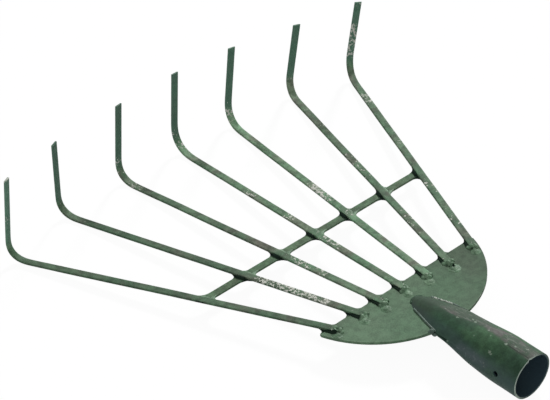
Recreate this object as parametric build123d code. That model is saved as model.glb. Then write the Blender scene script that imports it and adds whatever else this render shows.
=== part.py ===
from build123d import *
import math
import os

# Leaf rake head, a welded assembly of steel strip, plate and a rolled socket. Millimetres.
# The origin is in the middle of the socket's mouth. +X is to the right, +Y runs from the mouth to the tines,
# and +Z is the way that the tips point. The plate and the tines' long legs lie flat, and the socket drops a
# little from them towards its mouth.

# Driving dimensions

# plate: a half-moon, cut off straight where the tines start
plate_thickness = 2.5
plate_height = 5.2            # of its middle plane above the middle of the mouth
plate_radius = 91.7
plate_ahead = 21.8            # from the socket's nose to the plate's straight front edge
plate_corner_radius = 1.5

# fan of tines: flat strip, laid on the plate and on the crossbar
fan_offset = 4.0              # the fan's middle line lies this far to the right of the socket's
tine_width = 6.5
tine_thickness = 2.0
strip_edge = 0.5              # small chamfer along the strips' edges
tine_overlap = 10.0           # of each tine on the plate, behind its front edge
bend_radius = 23.0            # middle line of the bend
tip_bevel = 0.8
# one value per tine from left to right, bent and set by hand, so no two are quite alike
tine_place = (-1.358, -0.862, -0.431, 0.0, 0.42, 0.883, 1.363)  # along the crossbar, in plate radii
tine_splay = (-25.5, -16.6, -7.7, 0.4, 7.4, 16.6, 23.4)         # degrees from straight ahead
tine_reach = (177.0, 186.0, 184.0, 184.0, 183.0, 185.0, 175.0)  # from the crossbar to the corner of the bend
tine_bend = (97.0, 97.5, 98.0, 97.5, 98.5, 102.5, 99.5)         # degrees of bend
tine_lean = (0.0, -5.0, -0.5, 0.0, 2.0, 3.0, 5.5)               # degrees that the upright leans to the right
tine_upright = (83.0, 81.0, 82.5, 83.5, 83.5, 81.5, 83.0)       # from the corner of the bend to the tip

# crossbar: straight strip under the tines, with its ends flush with the outer tines
crossbar_width = 7.0
crossbar_thickness = 2.0
crossbar_ahead = 98.5         # from the plate's front edge to its middle line

# socket: rolled sheet, a true cylinder at the mouth, then squashed until it clasps the plate
socket_radius = 20.0
socket_wall = 1.6
socket_tilt = 2.2             # degrees that it drops towards its mouth
socket_length = 125.0
socket_sides = 48             # flats round the squashed part, few enough to keep it light
slit_open = 11.3              # how much of each side slit stays open behind the plate
screw_hole_radius = 2.5
screw_hole_place = 19.5       # from the mouth
screw_hole_angle = 174.0      # degrees round the socket from +X towards +Z
# shares of the socket's length, from the mouth
round_share = 0.24            # up to here it is a true cylinder
lift_share = (0.384, 0.672)   # its middle rises into the plate's plane between these
slit_share = 0.568            # the side slits begin here
lip_bead_share = 0.896        # and the lips' beads stop here
# share of the length, half width and half height as shares of the radius, and lens shape against oval
socket_stations = (
    (0.384, 1.0, 0.84, 0.0),
    (0.48, 0.99, 0.69, 0.1),
    (0.576, 0.98, 0.55, 0.35),
    (0.672, 0.975, 0.46, 0.7),
    (0.768, 0.87, 0.41, 1.0),
    (0.848, 0.725, 0.365, 1.0),
    (0.912, 0.61, 0.31, 1.0),
    (0.96, 0.46, 0.23, 1.0),
)
nose_share = 0.25             # half width of the nose's end, as a share of the radius

# welds
weld_sides = 10               # flats round a weld
weld_rings = (0, 40, 75)      # degrees of latitude of its rings, from its middle up
bead_radius = 1.8             # at the crossings, and beside each tine on the plate
small_bead_radius = 1.1       # on the other side of each tine
web_radius_left = 4.0         # of the hollow curves that the welds make in the corners, seen from above
web_radius_right = 2.5
web_margin = 0.6              # how far a web stops short of the outer faces of the steel that it joins
bead_sink = 0.1               # how far a weld's middle lies below the face that it sits on
bead_reach = 2.8              # of a bead past the edge that it crosses
blob_radius = 4.4             # of the droplet at a tine's inner end
blob_height = 2.8
ridge_radius = 2.3
ridge_length = 8.0
blob_size = (0.95, 1.0, 0.95, 0.9, 1.0, 1.1, 0.95)              # one share per tine
lip_bead_left = 1.2
lip_bead_right = 1.9
lip_bead_under = 1.8
nose_bead_radius = 1.6
nose_bead_half_length = 6.5
tack_radius = 2.7

# Places that follow from them

plate_top = plate_height + plate_thickness / 2
plate_bottom = plate_height - plate_thickness / 2
tine_middle = plate_top + tine_thickness / 2
crossbar_middle = plate_top - crossbar_thickness / 2
tine_count = len(tine_place)
last_tine = tine_count - 1
slit_start = slit_share * socket_length
plate_front = socket_length + plate_ahead
plate_arc_centre = slit_start + slit_open + plate_radius
crossbar_place = plate_front + crossbar_ahead
half_chord = math.sqrt(plate_radius**2 - (plate_arc_centre - plate_front) ** 2)
tilt = math.radians(socket_tilt)
socket_direction = Vector(0, math.cos(tilt), math.sin(tilt))


def tine_directions(number):
    """Unit vectors along a tine's long leg, across it to the right, and along its upright."""
    splay = math.radians(tine_splay[number])
    bend = math.radians(tine_bend[number])
    lean = math.radians(tine_lean[number])
    along = Vector(math.sin(splay), math.cos(splay), 0)
    across = Vector(math.cos(splay), -math.sin(splay), 0)
    upright = (along * math.cos(bend) + Vector(0, 0, 1) * math.sin(bend)) * math.cos(lean)
    return along, across, upright + across * math.sin(lean)


def tine_crossing(number):
    """Where a tine's middle line passes over the crossbar's."""
    return Vector(fan_offset + tine_place[number] * plate_radius, crossbar_place, tine_middle)


def tine_inner_end(number):
    """Middle of a tine's inner end, on the plate."""
    along, _, _ = tine_directions(number)
    tail = (crossbar_place - plate_front + tine_overlap) / along.Y
    return tine_crossing(number) - along * tail


def tine_frame(number, origin):
    """Plane on a tine's long leg: X across it, Y along it to the tip, Z up."""
    _, across, _ = tine_directions(number)
    return Plane(origin=origin, x_dir=across, z_dir=(0, 0, 1))


def strip_section(width, thickness):
    outline = Rectangle(width, thickness)
    return chamfer(outline.vertices(), strip_edge)


def make_tine(number):
    along, across, upright = tine_directions(number)
    start = tine_inner_end(number)
    corner = tine_crossing(number) + along * tine_reach[number]
    tip = corner + upright * tine_upright[number]
    path = FilletPolyline(start, corner, tip, radius=bend_radius)
    section = Plane(origin=start, x_dir=across, z_dir=along) * strip_section(tine_width, tine_thickness)
    strip = sweep(section, path=path)
    # the tip is ground to a blunt bevel on its outer face
    outward = Plane(origin=tip, x_dir=across, z_dir=upright)
    bevel = outward * Location((0, 0, 0), (-35, 0, 0)) * Pos(0, 0, 5 + tip_bevel * 0.2) * Box(20, 20, 10)
    return strip - bevel


def make_plate():
    left = (fan_offset - half_chord, plate_front)
    right = (fan_offset + half_chord, plate_front)
    rear = (fan_offset, plate_arc_centre - plate_radius)
    outline = make_face([ThreePointArc(left, rear, right), Line(right, left)])
    corners = outline.vertices()
    outline = fillet(corners, plate_corner_radius)
    return Pos(0, 0, plate_bottom) * extrude(outline, plate_thickness)


def make_crossbar():
    along_left, _, _ = tine_directions(0)
    along_right, _, _ = tine_directions(last_tine)
    left = tine_crossing(0).X - tine_width / 2 / along_left.Y
    right = tine_crossing(last_tine).X + tine_width / 2 / along_right.Y
    section = Plane(origin=(left, crossbar_place, crossbar_middle), x_dir=(0, 1, 0), z_dir=(1, 0, 0))
    return extrude(section * strip_section(crossbar_width, crossbar_thickness), right - left)


def socket_plane(place):
    """Plane across the socket at a distance from its mouth, with X to the right and Y up."""
    start, end = lift_share
    share = min(max((place / socket_length - start) / (end - start), 0), 1)
    ease = share * share * (3 - 2 * share)
    centre = socket_direction * place
    rise = (plate_height - centre.Z) * ease
    return Plane(origin=centre + Vector(0, 0, rise), x_dir=(1, 0, 0), z_dir=-socket_direction)


def socket_section(place, half_width, half_height, lens):
    """Oval that turns into a lens with a sharp edge at each side as lens goes from 0 to 1."""
    points = []
    for side in range(socket_sides):
        turn = math.tau * side / socket_sides
        oval = half_height * math.sin(turn)
        arch = oval * abs(math.sin(turn))
        points.append((half_width * math.cos(turn), oval * (1 - lens) + arch * lens))
    return socket_plane(place) * make_face(Polyline(*points, close=True))


def socket_form(inset):
    """Solid form of the socket, drawn in by inset all round."""
    radius = socket_radius - inset
    round_length = round_share * socket_length
    tube = extrude(Plane(origin=(0, 0, 0), z_dir=socket_direction) * Circle(radius), round_length)
    sections = [socket_section(round_length, radius, radius, 0.0)]
    for share, wide, high, lens in socket_stations:
        half_width = wide * socket_radius - inset
        half_height = high * socket_radius - inset
        sections.append(socket_section(share * socket_length, half_width, half_height, lens))
    if inset == 0:
        nose_half_height = plate_thickness / 2 + socket_wall
        sections.append(socket_section(socket_length, nose_share * socket_radius, nose_half_height, 1.0))
    return tube + loft(sections, ruled=True)


def make_socket():
    shell = socket_form(0) - socket_form(socket_wall)
    slit_length = socket_length
    slit = Pos(0, slit_start + slit_length / 2, plate_height) * Box(
        4 * socket_radius, slit_length, plate_thickness
    )
    angle = math.radians(screw_hole_angle)
    outward = Vector(math.cos(angle), 0, math.sin(angle))
    hole = Plane(origin=socket_direction * screw_hole_place, z_dir=outward) * extrude(
        Circle(screw_hole_radius), 2 * socket_radius
    )
    return shell - slit - hole


def frustum(low, high):
    """Tapered piece with flats round Z; low and high are (radius, height) of its ends, low the wider."""
    rise = high[1] - low[1]
    taper = math.degrees(math.atan((low[0] - high[0]) * math.cos(math.pi / weld_sides) / rise))
    return Pos(0, 0, low[1]) * extrude(RegularPolygon(low[0], weld_sides), rise, taper=taper)


def spheroid(radial, axial):
    """Lump about Z with flats round it: radial is its half width, axial its half height."""
    rings = []
    for latitude in weld_rings:
        turn = math.radians(latitude)
        rings.append((radial * math.cos(turn), axial * math.sin(turn)))
    upper = Part()
    for low, high in zip(rings, rings[1:]):
        upper += frustum(low, high)
    return upper + mirror(upper, Plane.XY)


def long_bead(half_length, radius):
    """Bead that lies along Y."""
    return Rot(90, 0, 0) * spheroid(radius, half_length)


def side_corner(number, side, edge_place):
    """Where the side of a tine crosses a straight edge that runs along X, seen from above."""
    along, across, _ = tine_directions(number)
    middle = tine_crossing(number)
    start = Vector(middle.X, middle.Y, 0) + across * side * tine_width / 2
    return start + along * (edge_place - start.Y) / along.Y


def web_reach(number, side, ahead, radius):
    """How far a web runs along each of its two edges; ahead is 1 past the edge and -1 short of it."""
    along, _, _ = tine_directions(number)
    half_angle = math.acos(along.X * ahead * side) / 2
    return radius / math.tan(half_angle), half_angle


def make_web(number, side, ahead, edge_place, low, high):
    """Weld metal in the corner between a tine's side and an edge along X, with a hollow outline."""
    radius = web_radius_left if side < 0 else web_radius_right
    reach, half_angle = web_reach(number, side, ahead, radius)
    along, _, _ = tine_directions(number)
    corner = side_corner(number, side, edge_place)
    first = along * ahead
    second = Vector(side, 0, 0)
    between = (first + second).normalized()
    centre = corner + between * radius / math.sin(half_angle)
    start, end = corner + first * reach, corner + second * reach
    arc = ThreePointArc(start, centre - between * radius, end)
    outline = make_face([Line(corner, start), arc, Line(end, corner)])
    return Pos(0, 0, low) * extrude(outline, high - low)


def make_tine_weld(number, tine, plate):
    size = blob_size[number]
    frame = tine_frame(number, tine_inner_end(number))
    top = tine_thickness / 2
    droplet = Pos(-0.3, -1.8, -top - bead_sink) * spheroid(blob_radius * size, blob_height * size)
    droplet = split(droplet, Plane.XY.offset(-top), keep=Keep.TOP)
    ridge = Pos(0.5, 1.2, top - 0.9) * long_bead(ridge_length / 2 * size, ridge_radius)
    side_length = tine_overlap + bead_reach
    side_bead = Pos(-tine_width / 2 - 0.3, side_length / 2, -top - bead_sink) * long_bead(
        side_length / 2 + 1, bead_radius
    )
    weld = frame * (droplet + ridge + side_bead)
    for side in (-1, 1):
        reach, _ = web_reach(number, side, 1, web_radius_right)
        corner = side_corner(number, side, plate_front)
        if abs(corner.X + side * reach - fan_offset) < half_chord - plate_corner_radius:
            weld += make_web(number, side, 1, plate_front, plate_bottom + web_margin, plate_top + web_margin)
    return weld - tine - plate


def make_crossbar_weld(number, tine, crossbar):
    frame = tine_frame(number, tine_crossing(number))
    half_length = crossbar_width / 2 + bead_reach
    low = plate_top - crossbar_thickness + web_margin
    weld = Part()
    for side, radius in ((-1, bead_radius), (1, small_bead_radius)):
        if (number, side) in ((0, -1), (last_tine, 1)):
            continue    # the crossbar ends here
        place = Pos(side * (tine_width / 2 + 0.3), 0, -tine_thickness / 2 - bead_sink)
        weld += frame * place * long_bead(half_length, radius)
        for ahead in (-1, 1):
            edge = crossbar_place + ahead * crossbar_width / 2
            weld += make_web(number, side, ahead, edge, low, plate_top + web_margin)
    return weld - tine - crossbar


def lip_half_width(place):
    """Half width of the socket's outline on the plate, a straight run between its stations."""
    share = place / socket_length
    for (first, wide, _, _), (last, narrow, _, _) in zip(socket_stations, socket_stations[1:]):
        if first <= share <= last:
            return (wide + (narrow - wide) * (share - first) / (last - first)) * socket_radius
    raise ValueError("no lip there")


def plate_edge_at(x):
    """Distance of the plate's rear edge from the mouth, at a place across it."""
    return plate_arc_centre - math.sqrt(plate_radius**2 - (x - fan_offset) ** 2)


def lip_corner():
    """Distance from the mouth at which the socket's side meets the plate's rear edge."""
    return plate_edge_at(lip_half_width(slit_start + slit_open))


def make_lip_weld(side, radius, height, plate):
    """Bead along one lip, from the plate's rear edge to near the nose; side is -1 or 1."""
    start_place = lip_corner() + 1.6 * radius
    end_place = lip_bead_share * socket_length
    first = Vector(side * lip_half_width(start_place), start_place, height)
    last = Vector(side * lip_half_width(end_place), end_place, height)
    run = last - first
    middle = extrude(RegularPolygon(radius, weld_sides), run.length)
    end = frustum((radius, 0), (radius / 2, radius))
    bead = middle + mirror(end, Plane.XY) + Pos(0, 0, run.length) * end
    return Plane(origin=first, z_dir=run.normalized()) * bead - socket_form(0) - plate


def make_nose_weld(plate):
    bead = Rot(0, 90, 0) * spheroid(nose_bead_radius, nose_bead_half_length)
    return Pos(0, socket_length + 0.2, plate_top) * bead - socket_form(0) - plate


def make_tack(welds, plate):
    x = -lip_half_width(slit_start + slit_open)
    ball = Pos(x - 0.4, plate_edge_at(x) + 0.6, plate_top + 0.3) * spheroid(tack_radius, tack_radius)
    for weld in welds:
        ball -= weld
    return ball - plate - socket_form(0)


parts = {}
parts["plate"] = make_plate()
parts["socket"] = make_socket()
parts["crossbar"] = make_crossbar()
for number in range(tine_count):
    tine = make_tine(number)
    parts[f"tine_{number + 1}"] = tine
    parts[f"tine_weld_{number + 1}"] = make_tine_weld(number, tine, parts["plate"])
    parts[f"crossbar_weld_{number + 1}"] = make_crossbar_weld(number, tine, parts["crossbar"])

parts["socket_weld_left"] = make_lip_weld(-1, lip_bead_left, plate_top, parts["plate"])
parts["socket_weld_right"] = make_lip_weld(1, lip_bead_right, plate_top, parts["plate"])
parts["socket_weld_under_left"] = make_lip_weld(-1, lip_bead_under, plate_bottom, parts["plate"])
parts["socket_weld_under_right"] = make_lip_weld(1, lip_bead_under, plate_bottom, parts["plate"])
parts["socket_weld_nose"] = make_nose_weld(parts["plate"])
left_welds = (parts["socket_weld_left"], parts["socket_weld_under_left"])
parts["socket_tack"] = make_tack(left_welds, parts["plate"])

os.makedirs("parts", exist_ok=True)
for name, part in parts.items():
    export_step(part, f"parts/{name}.step")
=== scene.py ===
import bpy
import bmesh
import math
from mathutils import Matrix, Vector, noise


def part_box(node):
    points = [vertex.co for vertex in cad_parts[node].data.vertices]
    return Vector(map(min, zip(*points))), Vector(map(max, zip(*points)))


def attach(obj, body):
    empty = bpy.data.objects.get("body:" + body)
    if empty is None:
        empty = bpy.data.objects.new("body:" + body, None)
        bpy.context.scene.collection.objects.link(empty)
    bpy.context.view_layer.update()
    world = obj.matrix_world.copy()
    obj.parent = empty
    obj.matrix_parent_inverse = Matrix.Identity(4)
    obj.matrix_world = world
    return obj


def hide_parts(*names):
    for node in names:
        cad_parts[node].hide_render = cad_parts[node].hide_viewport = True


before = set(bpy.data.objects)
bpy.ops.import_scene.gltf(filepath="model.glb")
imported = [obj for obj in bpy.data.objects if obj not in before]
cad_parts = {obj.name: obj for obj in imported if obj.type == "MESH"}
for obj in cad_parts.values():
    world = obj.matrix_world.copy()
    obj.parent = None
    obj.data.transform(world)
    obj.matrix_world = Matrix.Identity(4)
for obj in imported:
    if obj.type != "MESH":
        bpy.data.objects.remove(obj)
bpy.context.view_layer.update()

# Leaf rake head: a fan of flat tines welded to a half-moon plate and a crossbar, with a squashed tube socket.
# Sizes in the dictionaries are in millimetres, or as a note says, and become metres where a mesh is made.
millimetre = 0.001


def toMetres(point):
    return Vector(point) * millimetre


def smoothStep(low, high, value):
    share = min(max((value - low) / (high - low), 0.0), 1.0)
    return share * share * (3 - 2 * share)


# rises between the first two places and falls between the last two
def plateau(value, start, full, fading, end):
    return smoothStep(start, full, value) * (1 - smoothStep(fading, end, value))


def band(value, low, high, soft):
    return plateau(value, low - soft, low + soft, high - soft, high + soft)


# straight lines between the (place, value) points of a table
def valueAlong(place, table):
    for (a, first), (b, last) in zip(table, table[1:]):
        if place <= b:
            return first + (last - first) * max(place - a, 0) / (b - a)
    return table[-1][1]


def wobble(point, scale, seed):
    return noise.noise(Vector(point) * scale + Vector((seed * 7.3, seed * 3.1, seed * 5.7)))


def addThing(name, data):
    thing = bpy.data.objects.new(name, data)
    bpy.context.scene.collection.objects.link(thing)
    return thing


def meshObject(name, vertices, faces):
    mesh = bpy.data.meshes.new(name)
    mesh.from_pydata([toMetres(v) for v in vertices], [], faces)
    mesh.validate()
    return addThing(name, mesh)


# quads between closed rings of equal size, with a cap on both ends
def ringFaces(size, rows):
    faces = []
    for row in range(rows - 1):
        for k in range(size):
            a, b = row * size + k, row * size + (k + 1) % size
            faces.append((a, b, b + size, a + size))
    faces.append(tuple(range(size - 1, -1, -1)))
    faces.append(tuple(range((rows - 1) * size, rows * size)))
    return faces


# turns all faces outward, after joining points that lie within the merge distance
def turnOutward(thing, merge=0.0):
    form = bmesh.new()
    form.from_mesh(thing.data)
    if merge:
        bmesh.ops.remove_doubles(form, verts=form.verts, dist=merge * millimetre)
    bmesh.ops.recalc_face_normals(form, faces=form.faces)
    form.to_mesh(thing.data)
    form.free()


def softenEdges(thing, width):
    bevel = thing.modifiers.new("softEdge", "BEVEL")
    bevel.width = width * millimetre
    bevel.segments = 2
    bevel.limit_method = "ANGLE"
    bevel.angle_limit = math.radians(50)


def applyModifiers(thing):
    depsgraph = bpy.context.evaluated_depsgraph_get()
    finished = bpy.data.meshes.new_from_object(thing.evaluated_get(depsgraph))
    thing.modifiers.clear()
    thing.data = finished


def shadeSmooth(thing, degrees):
    thing.data.shade_smooth()
    thing.data.set_sharp_from_angle(angle=math.radians(degrees))


# one number per mesh point for each name, which the paints read
def storeMarks(thing, **marks):
    for name, values in marks.items():
        thing.data.attributes.new(name, "FLOAT", "POINT").data.foreach_set("value", values)


def finishPiece(thing, material, replaced):
    thing.data.materials.clear()
    thing.data.materials.append(material)
    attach(thing, "root")
    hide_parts(replaced)


def feed(tree, socket, value):
    if isinstance(value, bpy.types.NodeSocket):
        tree.links.new(value, socket)
    else:
        socket.default_value = (*value, 1) if socket.type == "RGBA" else value


# a node with values for its inputs in order, where None leaves one alone, and its own settings by name
def addNode(tree, kind, *values, **settings):
    node = tree.nodes.new(kind)
    for key, value in settings.items():
        setattr(node, key, value)
    for socket, value in zip(node.inputs, values):
        if value is not None:
            feed(tree, socket, value)
    return node


def addMath(tree, operation, first, second, clamp=False):
    return addNode(tree, "ShaderNodeMath", first, second, operation=operation, use_clamp=clamp).outputs[0]


def times(tree, first, second, clamp=False):
    return addMath(tree, "MULTIPLY", first, second, clamp)


def plus(tree, first, second, clamp=False):
    return addMath(tree, "ADD", first, second, clamp)


def minus(tree, first, second, clamp=False):
    return addMath(tree, "SUBTRACT", first, second, clamp)


def addMix(tree, factor, first, second, blend="MIX"):
    skipped = [None] * 5    # the plain number and vector inputs
    return addNode(tree, "ShaderNodeMix", factor, *skipped, first, second,
                   data_type="RGBA", blend_type=blend).outputs[2]


# a colour made lighter or darker by a plain number
def addShade(tree, color, level):
    grey = addNode(tree, "ShaderNodeCombineColor", level, level, level).outputs[0]
    return addMix(tree, 1.0, color, grey, "MULTIPLY")


def addRange(tree, value, low, high, outLow=0.0, outHigh=1.0):
    return addNode(tree, "ShaderNodeMapRange", value, low, high, outLow, outHigh,
                   interpolation_type="SMOOTHSTEP").outputs[0]


def addNoise(tree, vector, scale, detail=4.0, roughness=0.55, distortion=0.0):
    node = addNode(tree, "ShaderNodeTexNoise", vector)
    settings = {"Scale": scale, "Detail": detail, "Roughness": roughness, "Distortion": distortion}
    for label, value in settings.items():
        feed(tree, node.inputs[label], value)
    return node.outputs[0]


# noise of which only a range shows
def addPatches(tree, shown, vector, scale, *settings):
    return addRange(tree, addNoise(tree, vector, scale, *settings), *shown)


def addMark(tree, name):
    return addNode(tree, "ShaderNodeAttribute", attribute_name=name).outputs["Fac"]


def objectPlace(tree, seed=None):
    place = addNode(tree, "ShaderNodeTexCoord").outputs["Object"]
    if seed is None:
        return place
    return addNode(tree, "ShaderNodeVectorMath", place, seed, operation="ADD").outputs[0]


# a node group: named inputs with their usual values, and a builder that gives back its named outputs
def newGroup(name, inputs, build):
    group = bpy.data.node_groups.new(name, "ShaderNodeTree")
    for label, value in inputs.items():
        isColor = isinstance(value, tuple)
        kind = "NodeSocketColor" if isColor else "NodeSocketFloat"
        socket = group.interface.new_socket(name=label, in_out="INPUT", socket_type=kind)
        socket.default_value = (*value, 1) if isColor else value
    results = build(group, group.nodes.new("NodeGroupInput").outputs)
    for label in results:
        kind = "NodeSocketColor" if label == "Color" else "NodeSocketFloat"
        group.interface.new_socket(name=label, in_out="OUTPUT", socket_type=kind)
    outside = group.nodes.new("NodeGroupOutput")
    for label, result in results.items():
        group.links.new(result, outside.inputs[label])
    return group


# scales are per metre; a range gives where a pattern starts and ends to show, and what it then puts out
patterns = {
    "paleRange": (0.42, 0.66), "brownRange": (0.40, 0.78),
    "fineScale": 900.0, "fineRange": (0.25, 0.75, 0.80, 1.18), "roughSpread": 0.18,
    "blotchScale": 170.0, "blotchRange": (0.32, 0.68, -0.5, 0.5),
    "clusterScale": 75.0, "clusterRange": (0.34, 0.58, 0.1, 1.0), "bareRange": (0.7, 1.0),
    "chipEdge": 0.74, "chipReach": 0.25, "chipSoftness": 0.03,
    "rubRange": (0.99, 0.86), "rubBroken": (0.42, 0.62), "dustFacing": (0.2, 1.0), "dustCloud": (0.35, 0.75),
    "creviceRange": (0.75, 0.2), "scrapeEdge": 0.74, "scrapeReach": 0.2, "scrapeSoftness": 0.05,
    "skinFineScale": 1500.0, "skinCoarseScale": 260.0, "samples": 6,
}


# colour of old paint: broad patches, finer mottling and a fine speckle
def mottle(group, given):
    place = objectPlace(group)
    shifted = objectPlace(group, (0.31, 0.17, 0.23))
    pale = addPatches(group, patterns["paleRange"], place, given["Patch Scale"], 3.0)
    pale = times(group, pale, given["Pale Amount"], True)
    brown = addPatches(group, patterns["brownRange"], shifted, given["Patch Scale"], 4.0, 0.6)
    brown = times(group, brown, given["Brown Amount"], True)
    fine = addNoise(group, place, patterns["fineScale"], 3.0, 0.7)
    blotches = addPatches(group, patterns["blotchRange"], shifted, patterns["blotchScale"], 3.0, 0.55, 0.3)
    blotches = times(group, blotches, given["Blotch"])
    color = addMix(group, pale, given["Paint"], given["Pale"])
    color = addMix(group, brown, color, given["Brown"])
    shade = plus(group, addRange(group, fine, *patterns["fineRange"]), blotches)
    brownRough, fineRough = (times(group, field, patterns["roughSpread"]) for field in (brown, fine))
    return {"Color": addShade(group, color, shade), "Roughness": plus(group, brownRough, fineRough)}


# small chips through the paint: ragged flecks that crowd together where wear is high
def chips(group, given):
    place = objectPlace(group, (0.7, 0.2, 0.4))
    flecks = addNoise(group, place, given["Scale"], 4.0, 0.62, 0.4)
    clusters = addPatches(group, patterns["clusterRange"], place, patterns["clusterScale"], 3.0, 0.6)
    amount = plus(group, given["Wear"], given["Base Amount"])
    patches = addMath(group, "MAXIMUM", clusters, addRange(group, amount, *patterns["bareRange"]))
    crowd = times(group, amount, patches, True)
    edge = minus(group, patterns["chipEdge"], times(group, crowd, patterns["chipReach"]))
    mask = addRange(group, flecks, edge, plus(group, edge, patterns["chipSoftness"]))
    return {"Mask": mask, "Height": minus(group, 1.0, mask)}


# paint rubbed thin along edges, on the plate also painted light on its shaded edges: compares the rounded
# normal with the flat one
def edgeRub(group, given):
    rounded = addNode(group, "ShaderNodeBevel", given["Radius"], samples=patterns["samples"]).outputs[0]
    flat = group.nodes.new("ShaderNodeNewGeometry").outputs["Normal"]
    together = addNode(group, "ShaderNodeVectorMath", rounded, flat, operation="DOT_PRODUCT").outputs["Value"]
    edge = addRange(group, together, *patterns["rubRange"])
    broken = addPatches(group, patterns["rubBroken"], objectPlace(group), given["Scale"], 4.0, 0.6)
    return {"Mask": times(group, times(group, edge, broken), given["Amount"], True)}


# thin pale film of dust on what faces up
def dustFilm(group, given):
    facing = group.nodes.new("ShaderNodeNewGeometry").outputs["Normal"]
    up = addRange(group, addNode(group, "ShaderNodeSeparateXYZ", facing).outputs[2], *patterns["dustFacing"])
    place = objectPlace(group, (0.1, 0.9, 0.3))
    cloud = addPatches(group, patterns["dustCloud"], place, given["Scale"], 5.0, 0.65)
    return {"Mask": times(group, times(group, up, cloud), given["Amount"], True)}


# painted shade: darker in inside corners, where little light gets in
def paintedCornerShade(group, given):
    shut = addNode(group, "ShaderNodeAmbientOcclusion", None, given["Distance"], samples=patterns["samples"])
    depth = addRange(group, shut.outputs["AO"], *patterns["creviceRange"])
    return {"Mask": times(group, depth, given["Amount"], True)}


# thin scratches and scrapes that run along the length
def lengthScrapes(group, given):
    place = addNode(group, "ShaderNodeSeparateXYZ", objectPlace(group, (0.4, 0.1, 0.9))).outputs
    scales = (given["Across"], given["Along"], given["Across"])
    stretched = [times(group, place[k], scale) for k, scale in enumerate(scales)]
    lines = addNoise(group, addNode(group, "ShaderNodeCombineXYZ", *stretched).outputs[0], 1.0, 3.0, 0.6, 0.3)
    edge = minus(group, patterns["scrapeEdge"], times(group, given["Wear"], patterns["scrapeReach"]))
    return {"Mask": addRange(group, lines, edge, plus(group, edge, patterns["scrapeSoftness"]))}


# brush marks and runs in the paint, as a height for a bump
def paintSkin(group, given):
    place = objectPlace(group)
    fine = times(group, addNoise(group, place, patterns["skinFineScale"], 2.0), given["Fine"])
    coarse = times(group, addNoise(group, place, patterns["skinCoarseScale"], 3.0), given["Coarse"])
    return {"Height": plus(group, fine, coarse)}


groups = {
    "mottle": newGroup("paintMottle", {
        "Paint": (0.1, 0.18, 0.12), "Pale": (0.2, 0.27, 0.2), "Brown": (0.15, 0.14, 0.12),
        "Patch Scale": 30.0, "Pale Amount": 0.4, "Brown Amount": 0.4, "Blotch": 0.3}, mottle),
    "chips": newGroup("paintChips", {"Wear": 0.0, "Scale": 420.0, "Base Amount": 0.0}, chips),
    "edgeRub": newGroup("edgeRub", {"Radius": 0.0005, "Amount": 0.6, "Scale": 260.0}, edgeRub),
    "dust": newGroup("dustFilm", {"Amount": 0.3, "Scale": 60.0}, dustFilm),
    "skin": newGroup("paintSkin", {"Fine": 0.5, "Coarse": 0.5}, paintSkin),
    "crevice": newGroup("paintedCornerShade", {"Amount": 0.5, "Distance": 0.003}, paintedCornerShade),
    "scrapes": newGroup("lengthScrapes", {"Wear": 0.0, "Across": 700.0, "Along": 90.0}, lengthScrapes),
}
print("shader groups made")


def placeGroup(tree, name, **values):
    node = tree.nodes.new("ShaderNodeGroup")
    node.node_tree = groups[name]
    for key, value in values.items():
        feed(tree, node.inputs[key.replace("_", " ")], value)
    return node.outputs


# colours are linear; bare is what a chip shows, the rubbed-edge colour is the worn edge and on the plate also
# a painted light on its shaded edges, the two darkest colours are painted shade, and radii are in metres
commonFinish = {
    "edgeAmount": 0.0, "edgeRadius": 0.0005, "edgeRubAndLight": (0.20, 0.25, 0.19), "dust": 0.03, "blotch": 0.4,
    "dustColor": (0.17, 0.21, 0.165), "paintedShadeColor": (0.009, 0.017, 0.013), "cornerShadeColor": (0.016, 0.028, 0.020),
    "chipDepth": 0.6, "bumpDepth": 0.0004,
}
finishes = {
    "strip": {
        "paint": (0.069, 0.138, 0.078), "pale": (0.112, 0.182, 0.110), "brown": (0.130, 0.124, 0.104),
        "patchScale": 38.0, "paleAmount": 0.55, "brownAmount": 0.95, "bare": (0.56, 0.57, 0.51),
        "chipScale": 430.0, "baseChips": 0.14, "edgeAmount": 0.5, "dust": 0.10,
        "roughness": 0.50, "gloss": 0.14, "bump": 0.3, "crevice": 0.6, "blotch": 0.6,
    },
    # on the plate the worn-edge colour is lighter also as painted light, so that its shaded edges look lit
    "plate": {
        "paint": (0.096, 0.174, 0.104), "pale": (0.126, 0.202, 0.128), "brown": (0.116, 0.134, 0.104),
        "patchScale": 20.0, "paleAmount": 0.6, "brownAmount": 0.45, "bare": (0.24, 0.30, 0.22),
        "chipScale": 460.0, "baseChips": 0.08, "edgeAmount": 0.9, "edgeRadius": 0.0009, "dust": 0.10,
        "edgeRubAndLight": (0.27, 0.30, 0.24), "roughness": 0.55, "gloss": 0.12, "bump": 0.2, "crevice": 0.7,
        "blotch": 0.3,
    },
    "socket": {
        "paint": (0.033, 0.078, 0.045), "pale": (0.066, 0.142, 0.072), "brown": (0.058, 0.076, 0.064),
        "patchScale": 34.0, "paleAmount": 0.7, "brownAmount": 0.3, "bare": (0.26, 0.29, 0.25),
        "chipScale": 420.0, "baseChips": 0.04, "dust": 0.04, "roughness": 0.46, "gloss": 0.08, "bump": 0.2,
        "crevice": 0.5,
    },
    "weld": {
        "paint": (0.108, 0.198, 0.116), "pale": (0.185, 0.290, 0.188), "brown": (0.080, 0.120, 0.078),
        "patchScale": 200.0, "paleAmount": 0.8, "brownAmount": 0.4, "bare": (0.38, 0.44, 0.36),
        "chipScale": 500.0, "baseChips": 0.01, "roughness": 0.42, "gloss": 0.25, "bump": 0.15,
        "crevice": 0.35,
    },
    "lip": {
        "paint": (0.095, 0.145, 0.118), "pale": (0.165, 0.220, 0.190), "brown": (0.055, 0.085, 0.065),
        "patchScale": 160.0, "paleAmount": 0.9, "brownAmount": 0.6, "bare": (0.42, 0.46, 0.40),
        "chipScale": 520.0, "baseChips": 0.05, "roughness": 0.40, "gloss": 0.20, "bump": 0.2, "crevice": 0.3,
    },
}
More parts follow.
